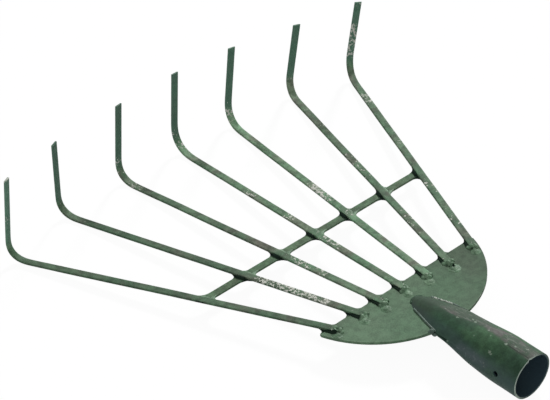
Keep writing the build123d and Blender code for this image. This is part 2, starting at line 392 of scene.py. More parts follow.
finishes["crossbar"] = {**finishes["strip"], "paint": (0.078, 0.150, 0.082), "pale": (0.128, 0.202, 0.118),
                        "brown": (0.108, 0.124, 0.082), "brownAmount": 0.6}


# every coat lies over the one before: paint, its own tint, dust, rubbed edges that on the plate are also
# painted light, painted shadow and painted shade in weld pits, painted shade in inside corners, and chips
def makePaint(name, finishName, tint=None):
    finish = {**commonFinish, **finishes[finishName]}
    material = bpy.data.materials.new(name + "Paint")
    material.use_nodes = True
    tree = material.node_tree
    paint = placeGroup(tree, "mottle", Paint=finish["paint"], Pale=finish["pale"], Brown=finish["brown"],
                       Patch_Scale=finish["patchScale"], Pale_Amount=finish["paleAmount"],
                       Brown_Amount=finish["brownAmount"], Blotch=finish["blotch"])
    color = tint(tree, paint["Color"]) if tint else paint["Color"]
    color = addMix(tree, placeGroup(tree, "dust", Amount=finish["dust"])["Mask"], color, finish["dustColor"])
    if finish["edgeAmount"] > 0:
        edgeRubAndLight = placeGroup(tree, "edgeRub", Amount=finish["edgeAmount"], Radius=finish["edgeRadius"])["Mask"]
        color = addMix(tree, edgeRubAndLight, color, finish["edgeRubAndLight"])
    # painted shade: the tines' shadow beside their -X side and the shade in weld pits, in a near-black green
    pits = addMark(tree, "pits")
    color = addMix(tree, pits, color, finish["paintedShadeColor"])
    # painted shade in inside corners, from how shut in each point is
    cornerShade = placeGroup(tree, "crevice", Amount=finish["crevice"])["Mask"]
    color = addMix(tree, cornerShade, color, finish["cornerShadeColor"])
    chipped = placeGroup(tree, "chips", Wear=addMark(tree, "wear"), Scale=finish["chipScale"],
                         Base_Amount=finish["baseChips"])
    color = addMix(tree, chipped["Mask"], color, finish["bare"])
    chipHeight = times(tree, chipped["Height"], finish["chipDepth"])
    bump = tree.nodes.new("ShaderNodeBump")
    bump.inputs["Strength"].default_value = finish["bump"]
    bump.inputs["Distance"].default_value = finish["bumpDepth"]
    tree.links.new(plus(tree, placeGroup(tree, "skin")["Height"], chipHeight), bump.inputs["Height"])
    # no gloss where this shade is painted
    glossOutsideShade = times(tree, minus(tree, 1.0, pits, True), finish["gloss"])
    results = {"Base Color": color, "Roughness": plus(tree, paint["Roughness"], finish["roughness"], True),
               "Normal": bump.outputs[0], "Specular IOR Level": glossOutsideShade}
    for label, value in results.items():
        tree.links.new(value, tree.nodes["Principled BSDF"].inputs[label])
    return material


tints = {"upright": (0.070, 0.154, 0.110), "uprightAmount": 0.75, "plateShade": (-0.01, 0.085, 1.05, 0.66)}


# light and dark along the tine, with painted light that lightens its bend, and the evener bluish green of its
# upright end
def tineTone(tree, color):
    color = addMix(tree, times(tree, addMark(tree, "cool"), tints["uprightAmount"]), color, tints["upright"])
    return addShade(tree, color, addMark(tree, "tone"))


# the plate darkens towards +X
def plateTone(tree, color):
    across = addNode(tree, "ShaderNodeSeparateXYZ", objectPlace(tree)).outputs[0]
    return addShade(tree, color, addRange(tree, across, *tints["plateShade"]))


paints = {name: makePaint(name, name) for name in ("weld", "lip", "crossbar")}
paints["plate"] = makePaint("plate", "plate", plateTone)
paints["tine"] = makePaint("tine", "strip", tineTone)
paints["nose"] = makePaint("nose", "socket")
print("finishes made")


studio = {
    "floorHalf": 6000, "floorTilt": 3.8, "floorHeight": -20.95, "skyStrength": 0.34,
    # seen straight on, the floor is almost white by itself, so only a trace of the shadow shows
    "floorColor": 0.6, "seenFloor": 0.06, "floorGlow": 0.95,
    # direction towards the lamp, strength and softness in degrees
    "lamps": {"keyLamp": ((0.72, 0.34, 0.58), 2.55, 8), "fillLamp": ((-0.62, -0.62, 0.48), 0.5, 25)},
}
# target and distance in mm, angles in degrees, near and far clip in m
camera = {
    "target": (12.36, 303.04, 8.10), "azimuth": -40.346, "elevation": 35.698, "roll": -3.56,
    "distance": 1683.5, "lens": 128.51, "clip": (0.05, 50),
}


# the rays that show the background: seen directly, mirrored, or through glass
def shownRays(tree):
    rays = tree.nodes.new("ShaderNodeLightPath").outputs
    mirrored = addMath(tree, "MAXIMUM", rays["Is Glossy Ray"], rays["Is Transmission Ray"])
    return addMath(tree, "MAXIMUM", rays["Is Camera Ray"], mirrored)


def makeFloor():
    half = studio["floorHalf"]
    corners = [(-half, -half, 0), (half, -half, 0), (half, half, 0), (-half, half, 0)]
    floor = meshObject("floor", corners, [(0, 1, 2, 3)])
    floor.rotation_euler = (math.radians(studio["floorTilt"]), 0, 0)
    floor.location = toMetres((0, 0, studio["floorHeight"]))
    material = bpy.data.materials.new("paleFloor")
    material.use_nodes = True
    tree = material.node_tree
    shader = tree.nodes["Principled BSDF"]
    shader.inputs["Roughness"].default_value = 1.0
    shader.inputs["Specular IOR Level"].default_value = 0.0
    seen = shownRays(tree)
    color = addMix(tree, seen, (studio["floorColor"],) * 3, (studio["seenFloor"],) * 3)
    tree.links.new(color, shader.inputs["Base Color"])
    glow = addNode(tree, "ShaderNodeEmission", (1, 1, 1), times(tree, seen, studio["floorGlow"]))
    both = addNode(tree, "ShaderNodeAddShader", shader.outputs[0], glow.outputs[0])
    tree.links.new(both.outputs[0], tree.nodes["Material Output"].inputs["Surface"])
    floor.data.materials.append(material)


def makeSky():
    world = bpy.data.worlds.new("studioSky")
    bpy.context.scene.world = world
    world.use_nodes = True
    tree = world.node_tree
    color = addMix(tree, shownRays(tree), (studio["skyStrength"],) * 3, (1, 1, 1))
    tree.links.new(color, tree.nodes["Background"].inputs["Color"])


def makeLamps():
    for name, (direction, strength, softness) in studio["lamps"].items():
        lamp = bpy.data.lights.new(name, "SUN")
        lamp.energy = strength
        lamp.angle = math.radians(softness)
        holder = addThing(name, lamp)
        holder.rotation_mode = "QUATERNION"
        holder.rotation_quaternion = Vector(direction).normalized().to_track_quat("Z", "Y")


def makeCamera():
    azimuth, elevation, roll = (math.radians(camera[k]) for k in ("azimuth", "elevation", "roll"))
    level = math.cos(elevation)
    back = Vector((math.sin(azimuth) * level, -math.cos(azimuth) * level, math.sin(elevation)))
    right = (-back).cross(Vector((0, 0, 1))).normalized()
    up = right.cross(-back)
    across = right * math.cos(roll) + up * math.sin(roll)
    upward = -right * math.sin(roll) + up * math.cos(roll)
    place = toMetres(camera["target"]) + back * camera["distance"] * millimetre
    lens = bpy.data.cameras.new("camera")
    lens.lens = camera["lens"]
    lens.sensor_fit = "HORIZONTAL"
    lens.clip_start, lens.clip_end = camera["clip"]
    viewer = addThing("camera", lens)
    turn = Matrix((across, upward, back)).transposed().to_4x4()
    viewer.matrix_world = Matrix.Translation(place) @ turn
    bpy.context.scene.camera = viewer


makeFloor()
makeSky()
makeLamps()
makeCamera()
bpy.context.scene.view_settings.view_transform = "Standard"
print("floor, lamps and camera placed")


# the plate keeps its own mesh, and the other pieces are set out from these sizes of it
plate = {
    "middle": 5.2, "thickness": 2.5, "front": 146.8, "radius": 91.7, "offset": 4.0, "corner": 83.0,
    "bevel": 0.35,
}
plateTop = plate["middle"] + plate["thickness"] / 2
plateBottom = plate["middle"] - plate["thickness"] / 2
# insets are how far the crossbar's ends stop short of the outer tines' far sides
crossbar = {
    "place": 245.3, "width": 7.0, "thickness": 2.0, "bevel": 0.35, "columns": 60, "insets": (3.2, 0.4),
    "wave": 0.12, "waveScale": 0.05,
}
strip = {
    "width": 6.5, "thickness": 2.0, "edgeRadius": 0.7, "fuller": 0.2, "overlap": 10.0, "rowSpacing": 2.5,
    "faceShares": (0.6, 0.2, -0.2, -0.6), "bendSlices": 720, "slicesPerRow": 20,
    # the tine sways a little over two stretches; the last two places of the outer one count from the bend
    "sideWave": 0.35, "innerSway": (14, 40, 92, 104), "innerShare": 0.5, "outerSway": (112, 150, -40, -5),
    "swayScale": 0.02, "narrowing": (-30, 10), "dents": 0.06, "dentScale": 0.12, "tipBevel": 0.62,
    # where the paint's tone changes, and where glow lightens the bend as painted light, as the bend turns
    # from the key lamp; upright, cool and glow are counted from the start of the bend
    "toneJoin": (95, 130), "upright": (26, 40), "cool": (28, 42), "glow": (10, 34, 8), "glowAmount": 0.35,
    "wornSoft": 6, "wornBelow": 0.4, "tipWornLength": 3.0,
    # painted shadow on the tine's -X side beside the plate, and its half length and softness over the
    # crossbar
    "shadowNearPlate": (1.0, 3.0, 9.5, 13.0), "shadowOverBar": (4.0, 1.5), "shadowAmount": 0.9, "shadowWidth": 0.3,
}
middleHeight = plateTop + strip["thickness"] / 2
# place is in plate radii across the crossbar, reach goes from there to the corner of the bend, angles are in
# degrees, and bendRadius is the tightest radius of the bend, which eases in and out; tone is how light the
# inner half, the outer half and the upright are; worn lists stretches from the inner end, and how chipped
tineSizes = ("place", "splay", "reach", "bend", "lean", "upright", "bendRadius", "tone", "tipWear", "worn")
tines = [dict(zip(tineSizes, values)) for values in (
    (-1.358, -25.5, 176.2, 97.0, 0.0, 83.0, 13.0, (0.86, 0.82, 1.60), 1.3,
     [(0, 14, 0.35), (268, 276, 0.4), (326, 334, 0.6)]),
    (-0.862, -16.6, 186.0, 97.5, -5.0, 81.0, 13.0, (0.95, 0.80, 1.05), 0.6,
     [(0, 12, 0.3), (30, 104, 1.0), (290, 306, 0.6)]),
    (-0.431, -7.7, 184.0, 98.0, -0.5, 82.5, 13.5, (1.22, 0.98, 1.05), 0.3,
     [(0, 12, 0.3), (55, 108, 0.7), (132, 150, 0.6), (262, 284, 0.5), (286, 310, 0.7)]),
    (0.0, 0.4, 183.99, 97.5, 0.0, 83.5, 17.0, (1.40, 1.28, 1.10), 0.1,
     [(0, 12, 0.3), (78, 112, 0.75), (130, 150, 0.65), (182, 200, 0.6), (268, 302, 0.72)]),
    (0.42, 7.4, 183.0, 98.5, 2.0, 83.5, 15.0, (1.65, 1.60, 1.15), 0.1,
     [(0, 12, 0.3), (40, 60, 0.5), (95, 118, 0.5), (128, 165, 0.85), (284, 300, 0.8)]),
    (0.883, 16.6, 185.0, 102.5, 3.0, 81.5, 12.0, (1.15, 1.12, 1.15), 0.1,
     [(0, 12, 0.3), (35, 95, 0.65), (112, 178, 0.5), (225, 270, 0.45), (302, 309, 0.9)]),
    (1.363, 23.4, 174.98, 99.5, 5.5, 83.0, 15.0, (1.10, 1.10, 1.20), 0.3,
     [(0, 12, 0.3), (25, 110, 0.5), (130, 210, 0.4), (232, 254, 0.75), (300, 343, 1.0), (343, 370, 0.35)]),
)]


def tineAxes(tine):
    splay, bend, lean = (math.radians(tine[k]) for k in ("splay", "bend", "lean"))
    along = Vector((math.sin(splay), math.cos(splay), 0))
    across = Vector((math.cos(splay), -math.sin(splay), 0))
    upright = (along * math.cos(bend) + Vector((0, 0, 1)) * math.sin(bend)) * math.cos(lean)
    return along, across, (upright + across * math.sin(lean)).normalized()


def tineCrossing(tine):
    return Vector((plate["offset"] + tine["place"] * plate["radius"], crossbar["place"], middleHeight))


def tineStart(tine):
    along = tineAxes(tine)[0]
    return tineCrossing(tine) - along * (crossbar["place"] - plate["front"] + strip["overlap"]) / along.y


# where a line along a tine's side meets the line y = edge
def sideCorner(tine, side, edge):
    along, across, _ = tineAxes(tine)
    middle = tineCrossing(tine)
    start = Vector((middle.x, middle.y, 0)) + across * side * strip["width"] / 2
    return start + along * (edge - start.y) / along.y


def easedTurn(turn, share):
    return turn * (share - math.sin(2 * math.pi * share) / (2 * math.pi))


# the bend as (share, ahead, rise) from its start, tightest in its middle, and its length
def easedBend(turn, radius):
    length = 2 * turn * radius
    slices, ahead, rise, bent = strip["bendSlices"], 0.0, 0.0, []
    for step in range(1, slices + 1):
        heading = easedTurn(turn, (step - 0.5) / slices)
        ahead += math.cos(heading) * length / slices
        rise += math.sin(heading) * length / slices
        if step % strip["slicesPerRow"] == 0:
            bent.append((step / slices, ahead, rise))
    return bent, length


# rows along the tine: middle, direction across, direction of its upper face, and length from the inner end
def tinePath(tine):
    along, across, upright = tineAxes(tine)
    start = tineStart(tine)
    corner = tineCrossing(tine) + along * tine["reach"]
    turn = along.angle(upright)
    axis = along.cross(upright).normalized()
    bent, length = easedBend(turn, tine["bendRadius"])
    tangent = bent[-1][2] / math.sin(turn)
    normal = across.cross(along).normalized()
    straight = (corner - start).length - tangent
    count = round(straight / strip["rowSpacing"])
    rows = []
    for step in range(count + 1):
        place = straight * step / count
        rows.append((start + along * place, across, normal, place))
    bendStart = start + along * straight
    inward = axis.cross(along).normalized()
    for share, ahead, rise in bent:
        spin = Matrix.Rotation(easedTurn(turn, share), 3, axis)
        middle = bendStart + along * ahead + inward * rise
        rows.append((middle, spin @ across, spin @ normal, straight + length * share))
    middle, across, normal, place = rows[-1]
    rest = tine["upright"] - tangent
    count = round(rest / strip["rowSpacing"])
    for step in range(1, count + 1):
        further = rest * step / count
        rows.append((middle + upright * further, across, normal, place + further))
    return rows, straight


# section of a strip with rounded corners, and more points across its two broad faces
def stripOutline():
    radius = strip["edgeRadius"]
    flatWide, flatThick = strip["width"] / 2 - radius, strip["thickness"] / 2 - radius
    ring = []
    for signX, signZ, first in ((1, 1, 0), (-1, 1, 90), (-1, -1, 180), (1, -1, 270)):
        for step in range(4):
            angle = math.radians(first + 30 * step)
            x, z = radius * math.cos(angle), radius * math.sin(angle)
            ring.append((signX * flatWide + x, signZ * flatThick + z))
        if signX == signZ:
            face = signZ * strip["thickness"] / 2
            ring += [(signX * flatWide * share, face) for share in strip["faceShares"]]
    return ring


def tineVertices(number, rows, straight, ring):
    vertices = []
    for index, (middle, across, normal, place) in enumerate(rows):
        start, full, fading, end = strip["outerSway"]
        away = plateau(place, start, full, straight + fading, straight + end)
        free = plateau(place, *strip["innerSway"]) * strip["innerShare"] + away
        sway = wobble((place, number * 40, 0), strip["swayScale"], 1) * strip["sideWave"] * free
        # hammered a little wider than the bare strip, but for the uprights of the two outer tines
        start, end = (straight + k for k in strip["narrowing"])
        narrow = smoothStep(start, end, place) if number in (0, len(tines) - 1) else 0.0
        fuller = strip["fuller"] * (1 - narrow)
        centre = middle + across * sway
        for x, z in ring:
            dent = wobble((place * 3, x * 2, z * 3 + number * 9), strip["dentScale"], 2) * strip["dents"]
            wide = x + math.copysign(fuller - abs(dent), x) if abs(x) > strip["width"] / 2 - 0.5 else x
            point = centre + across * wide + normal * (z * (1 - abs(dent) * 0.4))
            if index == len(rows) - 1:    # the tip is cut to a blunt bevel
                drop = max(0.0, -z - 0.1) * strip["tipBevel"] + abs(dent) * 2
                point -= (middle - rows[index - 1][0]).normalized() * drop
            vertices.append(point)
    return vertices


def markTine(thing, tine, rows, straight, ring):
    total = rows[-1][3]
    crossing = (tineCrossing(tine) - tineStart(tine)).length
    inner, outer, upright = tine["tone"]
    glowStart, glowEnd, glowSoft = strip["glow"]
    barHalf, barSoft = strip["shadowOverBar"]
    wear, tone, pits, cool = [], [], [], []
    for _, _, _, place in rows:
        worn = max(amount * band(place, low, high, strip["wornSoft"]) for low, high, amount in tine["worn"])
        tip = smoothStep(total - strip["tipWornLength"], total, place) * tine["tipWear"]
        level = inner + (outer - inner) * smoothStep(*strip["toneJoin"], place)
        level += (upright - outer) * smoothStep(*(straight + k for k in strip["upright"]), place)
        # painted light: the bend is made lighter where it turns away from the key lamp
        level *= 1 + strip["glowAmount"] * band(place, straight + glowStart, straight + glowEnd, glowSoft)
        # painted shadow on the tine's -X side, where it lies on the plate and where it crosses the crossbar
        paintedShadow = plateau(place, *strip["shadowNearPlate"])
        paintedShadow += band(place, crossing - barHalf, crossing + barHalf, barSoft)
        for x, z in ring:
            wear.append(max(worn * (1.0 if z > 0 else strip["wornBelow"]), tip))
            onSide = x < strip["shadowWidth"] - strip["width"] / 2    # the -X side
            pits.append(paintedShadow * strip["shadowAmount"] * onSide)
        tone += [level] * len(ring)
        cool += [smoothStep(*(straight + k for k in strip["cool"]), place)] * len(ring)
    storeMarks(thing, wear=wear, tone=tone, pits=pits, cool=cool)


def makeTine(number, tine):
    rows, straight = tinePath(tine)
    ring = stripOutline()
    vertices = tineVertices(number, rows, straight, ring)
    thing = meshObject("tine" + str(number + 1), vertices, ringFaces(len(ring), len(rows)))
    markTine(thing, tine, rows, straight, ring)
    shadeSmooth(thing, 50)
    finishPiece(thing, paints["tine"], "tine_" + str(number + 1))


for number, tine in enumerate(tines):
    makeTine(number, tine)
print("tines made")


socket = {
    "radius": 19.98, "wall": 1.6, "tilt": 2.2, "length": 125.0, "liftShares": (0.384, 0.672),
    "slitShare": 0.568, "rowSpacing": 1.25, "columns": 56, "rimBevel": 0.3, "merge": 0.02,
    "holePlace": 19.5, "holeAngle": 174.0, "holeRadius": 2.5, "holeSides": 48,
    "drillLength": 12, "drillOut": 19, "seamAngle": 101.0, "notchDepth": 1.0, "notchWidth": 2.6,
    # share of the length, half width and half height in radii, and how far the oval is squashed to a lens
    "stations": [(0.0, 1.0, 1.0, 0.0), (0.12, 1.0, 1.0, 0.0), (0.24, 1.0, 1.0, 0.0), (0.384, 1.0, 0.84, 0.0),
                 (0.48, 0.99, 0.69, 0.1), (0.576, 0.98, 0.55, 0.35), (0.672, 0.975, 0.46, 0.7),
                 (0.768, 0.87, 0.41, 1.0), (0.848, 0.725, 0.365, 1.0), (0.912, 0.61, 0.31, 1.0),
                 (0.96, 0.46, 0.23, 1.0), (1.0, 0.25, 0.1425, 1.0)],
}
tilt = math.radians(socket["tilt"])
socketAlong = Vector((0, math.cos(tilt), math.sin(tilt)))
socketUp = Vector((0, -math.sin(tilt), math.cos(tilt)))


def socketCentre(place):
    low, high = socket["liftShares"]
    centre = socketAlong * place
    rise = (plate["middle"] - centre.z) * smoothStep(low, high, place / socket["length"])
    return centre + Vector((0, 0, rise))


# half width, half height and squash at a place, on a smooth curve through the stations
def socketShape(place):
    share = place / socket["length"]
    table = socket["stations"]
    index = max(i for i, row in enumerate(table[:-1]) if row[0] <= share + 1e-9)
    before, after = table[max(index - 1, 0)], table[min(index + 2, len(table) - 1)]
    first, last = table[index], table[index + 1]
    span = last[0] - first[0]
    t = (share - first[0]) / span
    values = []
    for k in (1, 2, 3):
        slopeIn = (last[k] - before[k]) / (last[0] - before[0]) if index else 0.0
        slopeOut = (after[k] - first[k]) / (after[0] - first[0])
        h1, h2 = 2 * t**3 - 3 * t**2 + 1, t**3 - 2 * t**2 + t
        h3, h4 = -2 * t**3 + 3 * t**2, t**3 - t**2
        values.append(h1 * first[k] + h2 * span * slopeIn + h3 * last[k] + h4 * span * slopeOut)
    return values[0] * socket["radius"], values[1] * socket["radius"], min(max(values[2], 0), 1)


def socketPoint(place, angle):
    wide, high, lens = socketShape(place)
    oval = high * math.sin(angle)
    arch = oval * abs(math.sin(angle))
    height = oval * (1 - lens) + arch * lens
    return socketCentre(place) + Vector((wide * math.cos(angle), 0, 0)) + socketUp * height


# angle at which the tube's skin passes a height, where the slit's lips lie on the plate
def lipAngle(place, height):
    _, high, lens = socketShape(place)
    level = (height - socketCentre(place).z) / math.cos(tilt) / high
    size = min(abs(level), 0.95)
    root = size if lens < 1e-6 else (-(1 - lens) + math.sqrt((1 - lens) ** 2 + 4 * lens * size)) / (2 * lens)
    return math.copysign(math.asin(min(root, 1.0)), level)


def socketPlace(point):
    place = min(max(point.dot(socketAlong), 0.0), socket["length"])
    offset = point - socketCentre(place)
    return place, math.degrees(math.atan2(offset.dot(socketUp), offset.x)) % 360


# upper and lower half of the tube's skin, which part where the slits begin
def makeSocketSkin():
    slitStart = socket["slitShare"] * socket["length"]
    count = round(socket["length"] / socket["rowSpacing"])
    places = sorted(set([socket["length"] * k / count for k in range(count + 1)] + [slitStart]))
    columns = socket["columns"]
    vertices, faces = [], []
    for place in places:
        if place > slitStart + 0.01:
            upper, lower = lipAngle(place, plateTop), lipAngle(place, plateBottom)
        else:
            upper = lower = lipAngle(place, plate["middle"])
        for k in range(columns + 1):
            angle = upper + (math.pi - 2 * upper) * k / columns
            offSeam = (math.degrees(angle) - socket["seamAngle"]) / socket["notchWidth"]
            notch = socket["notchDepth"] * math.exp(-offSeam ** 2)
            vertices.append(socketPoint(max(place, notch), angle))
        for k in range(columns + 1):
            vertices.append(socketPoint(place, math.pi - lower + (math.pi + 2 * lower) * k / columns))
    ring = 2 * (columns + 1)
    for row in range(len(places) - 1):
        for start in (0, columns + 1):
            for k in range(columns):
                a = row * ring + start + k
                faces.append((a, a + ring, a + ring + 1, a + 1))
    return meshObject("socketTube", vertices, faces)


def drillHole(thing):
    angle = math.radians(socket["holeAngle"])
    outward = Vector((math.cos(angle), 0, math.sin(angle)))
    bpy.ops.mesh.primitive_cylinder_add(
        vertices=socket["holeSides"], radius=socket["holeRadius"] * millimetre,
        depth=socket["drillLength"] * millimetre,
        location=toMetres(socketAlong * socket["holePlace"] + outward * socket["drillOut"]),
        rotation=outward.to_track_quat("Z", "Y").to_euler(),
    )
    drill = bpy.context.object
    cut = thing.modifiers.new("screwHole", "BOOLEAN")
    cut.object = drill
    cut.operation = "DIFFERENCE"
    cut.solver = "EXACT"
    applyModifiers(thing)
    bpy.data.objects.remove(drill)


def makeSocket():
    thing = makeSocketSkin()
    turnOutward(thing, socket["merge"])
    middle = thing.data.polygons[len(thing.data.polygons) // 4]
    outward = middle.center / millimetre - socketCentre(middle.center.y / millimetre)
    if outward.dot(middle.normal) < 0:
        thing.data.flip_normals()
    thicken = thing.modifiers.new("wall", "SOLIDIFY")
    thicken.thickness = socket["wall"] * millimetre
    thicken.offset = -1
    thicken.use_even_offset = True
    applyModifiers(thing)
    drillHole(thing)
    softenEdges(thing, socket["rimBevel"])
    applyModifiers(thing)
    shadeSmooth(thing, 45)
    return thing


# what handling left on the tube, a cooler green on its lower sides, and painted light on the rim and the top
# band: places in mm from the mouth, angles in degrees from +X towards the top
socketWear = {
    "bandLow": [(0, 66), (48, 60), (62, 30), (72, -20), (125, -20)], "bandSoft": 5, "bandFade": (92, 106),
    "bandHigh": [(0, 106), (26, 99), (45, 89), (61, 80), (77, 93), (92, 92), (110, 80), (125, 70)],
    "pinkAngle": (66, 104, 7), "pinkFade": (88, 102), "noseStart": (88, 108), "insideEnd": 70,
    "patchPlace": (28, 62, 7), "patchAngle": (158, 178, 9), "coolAngle": (135, 170, 300, 330),
    # the rim is a painted highlight on the mouth's cut end: bright over the rimBright angles, dull elsewhere
    "rimBright": (72, 236, 22), "rimDull": 0.12, "rimDepth": 3,
    "seamHalf": 0.7, "seamSoft": 0.9, "seamFade": (19, 27), "bandWear": 0.45, "patchWear": 0.5,
    # place, angle, radius in mm and strength of single specks of bare or pale paint
    "specks": [(31, 136, 1.5, 0.8), (29, 139, 0.9, 0.9), (24, 101, 1.2, 1.0), (17, 93, 1.0, 0.9),
               (46, 88, 1.0, 0.8), (62, 80, 1.3, 0.8), (66, 76, 1.0, 0.7), (77, 93, 1.2, 0.6),
               (40, 100, 0.8, 0.6), (52, 118, 0.8, 0.5), (70, 170, 0.9, 0.5)],
}
socketColors = {
    "worn": (0.064, 0.092, 0.066), "pink": (0.122, 0.112, 0.110), "cool": (0.066, 0.106, 0.104),
    "nose": (0.060, 0.076, 0.060), "noseAmount": 0.5, "pinkFlake": (0.170, 0.168, 0.162),
    "patch": (0.098, 0.128, 0.134), "patchAmount": 0.7, "patchFlake": (0.180, 0.215, 0.220),
    "scrape": (0.17, 0.19, 0.165), "scrapeAmount": 0.55, "seam": (0.015, 0.022, 0.018), "seamAmount": 0.8,
    "speck": (0.27, 0.34, 0.27), "speckEdge": 0.003, "inside": (0.034, 0.060, 0.076),
    "rimDark": (0.24, 0.31, 0.26), "rimLight": (0.42, 0.50, 0.44),
}


def markSocketPoint(vertex):
    point = vertex.co / millimetre
    place, angle = socketPlace(point)
    facing = vertex.normal.dot((point - socketCentre(place)).normalized())
    if place < socketWear["insideEnd"]:
        within = smoothStep(0.15, -0.15, facing)
    else:
        within = 1.0 if facing < 0 else 0.0
    outside = 1 - within
    turned = angle - 360 if angle > 300 else angle
    low, high = (valueAlong(place, socketWear[name]) for name in ("bandLow", "bandHigh"))
    topBand = band(turned, low, high, socketWear["bandSoft"])
    topBand *= 1 - smoothStep(*socketWear["bandFade"], place)
    # the pinkish grey on the top band is partly wear and partly a painted reflection of the light from above
    pink = band(turned, *socketWear["pinkAngle"]) * (1 - smoothStep(*socketWear["pinkFade"], place))
    patch = band(place, *socketWear["patchPlace"]) * band(angle, *socketWear["patchAngle"])
    low, high = (socket["seamAngle"] + side * socketWear["seamHalf"] for side in (-1, 1))
    seam = band(angle, low, high, socketWear["seamSoft"]) * (1 - smoothStep(*socketWear["seamFade"], place))
    # painted highlight on the mouth's cut end
    mouth = smoothStep(0.5, 0.9, -vertex.normal.dot(socketAlong)) if place < socketWear["rimDepth"] else 0.0
    bright = socketWear["rimDull"] + (1 - socketWear["rimDull"]) * band(angle, *socketWear["rimBright"])
    return {
        "wear": (socketWear["bandWear"] * topBand + socketWear["patchWear"] * patch) * outside,
        "topBand": topBand * outside, "pink": pink * outside, "holePatch": patch * outside,
        "nose": smoothStep(*socketWear["noseStart"], place) * outside,
        "lowCool": plateau(angle, *socketWear["coolAngle"]) * outside, "inside": within,
        "seam": seam * outside, "rim": mouth * bright,
    }


def markSocket(thing):
    marks = [markSocketPoint(vertex) for vertex in thing.data.vertices]
    storeMarks(thing, **{name: [mark[name] for mark in marks] for name in marks[0]})


def paintSpecks(tree, color):
    here = objectPlace(tree)
    rough = minus(tree, addNoise(tree, here, 900.0, 3.0), 0.5)
    rough = times(tree, rough, socketColors["speckEdge"])
    for place, angle, radius, strength in socketWear["specks"]:
        centre = toMetres(socketPoint(place, math.radians(angle)))
        away = addNode(tree, "ShaderNodeVectorMath", here, centre, operation="DISTANCE").outputs["Value"]
        away = plus(tree, away, rough)
        spot = addRange(tree, away, radius * millimetre, radius * 0.6 * millimetre, 0.0, strength)
        color = addMix(tree, spot, color, socketColors["speck"])
    return color


def socketTint(tree, color):
    here = objectPlace(tree)
    ragged = addPatches(tree, (0.3, 0.62), here, 120.0, 5.0, 0.65)
    soft = addPatches(tree, (0.3, 0.6), here, 60.0, 3.0, 0.5)
    flakes = addPatches(tree, (0.54, 0.60, 0.0, 0.6), here, 330.0, 5.0, 0.7, 0.5)
    # pinkish grey of the top band: worn paint, and partly a painted reflection of the light from above
    pink = addPatches(tree, (0.38, 0.6), objectPlace(tree, (0.2, 0.6, 0.1)), 85.0, 4.0, 0.6)
    pink = times(tree, pink, addMark(tree, "pink"), True)
    topBand = times(tree, addMark(tree, "topBand"), plus(tree, times(tree, ragged, 0.55), 0.45), True)
    cool = times(tree, addMark(tree, "lowCool"), plus(tree, times(tree, soft, 0.4), 0.4), True)
    patch = times(tree, addMark(tree, "holePatch"), soft, True)
    scrapes = placeGroup(tree, "scrapes", Wear=addMark(tree, "topBand"))["Mask"]
    worn = addMix(tree, pink, socketColors["worn"], socketColors["pink"])
    layers = (
        (cool, socketColors["cool"]),
        (times(tree, addMark(tree, "nose"), socketColors["noseAmount"]), socketColors["nose"]),
        (topBand, worn),
        (times(tree, flakes, times(tree, pink, topBand)), socketColors["pinkFlake"]),
        (times(tree, patch, socketColors["patchAmount"]), socketColors["patch"]),
        (times(tree, flakes, patch), socketColors["patchFlake"]),
        (times(tree, scrapes, socketColors["scrapeAmount"]), socketColors["scrape"]),
        (times(tree, addMark(tree, "seam"), socketColors["seamAmount"]), socketColors["seam"]),
    )
    for mask, coat in layers:
        color = addMix(tree, mask, color, coat)
    color = addMix(tree, addMark(tree, "inside"), paintSpecks(tree, color), socketColors["inside"])
    # painted highlight on the mouth's cut end, ragged between a darker and a lighter colour
    rim = addMix(tree, ragged, socketColors["rimDark"], socketColors["rimLight"])
    return addMix(tree, addMark(tree, "rim"), color, rim)


paints["socket"] = makePaint("socketTube", "socket", socketTint)
socketTube = makeSocket()
markSocket(socketTube)
finishPiece(socketTube, paints["socket"], "socket")
print("socket made")


# all welds: grain of the skin, its lumps, rounds of smoothing, depth of its pits, and how far it may
# sink below the plate's top
melt = {"grain": 0.28, "lumps": 0.30, "rounds": 3, "pitDepth": 0.9, "sunk": 1.5}
# webs in the corners: rise and the painted shadow near the tine are for the tine's left and right side, root
# and bite say how deep a web starts in the steel, legs how far it reaches along both edges, and the profile
# is (share outward, drop)
webs = {
    "rise": (0.7, 1.9), "paintedShadow": (0.97, 0.0), "shadowReach": (4.8, 2.2), "root": 1.3, "bite": 0.9,
    "sink": 0.1, "film": 0.04, "steps": 12,
    "profile": [(0.0, 0.0), (0.6, 0.0), (0.86, -0.03), (0.95, -0.14), (1.0, -0.45)],
    "plateLegs": [(5.5, 5.0), (7.0, 5.5), (7.0, 6.0), (6.0, 5.5), (5.0, 5.0), (4.5, 4.5), (4.0, 3.5)],
    "crossbarLegs": {(-1, 1): 5.5, (-1, -1): 7.5, (1, 1): 5.0, (1, -1): 8.5}, "firstLeg": 8.0,
}
beads = {-1: 1.5, 1: 1.1}    # radius of the bead on the left and right of a tine
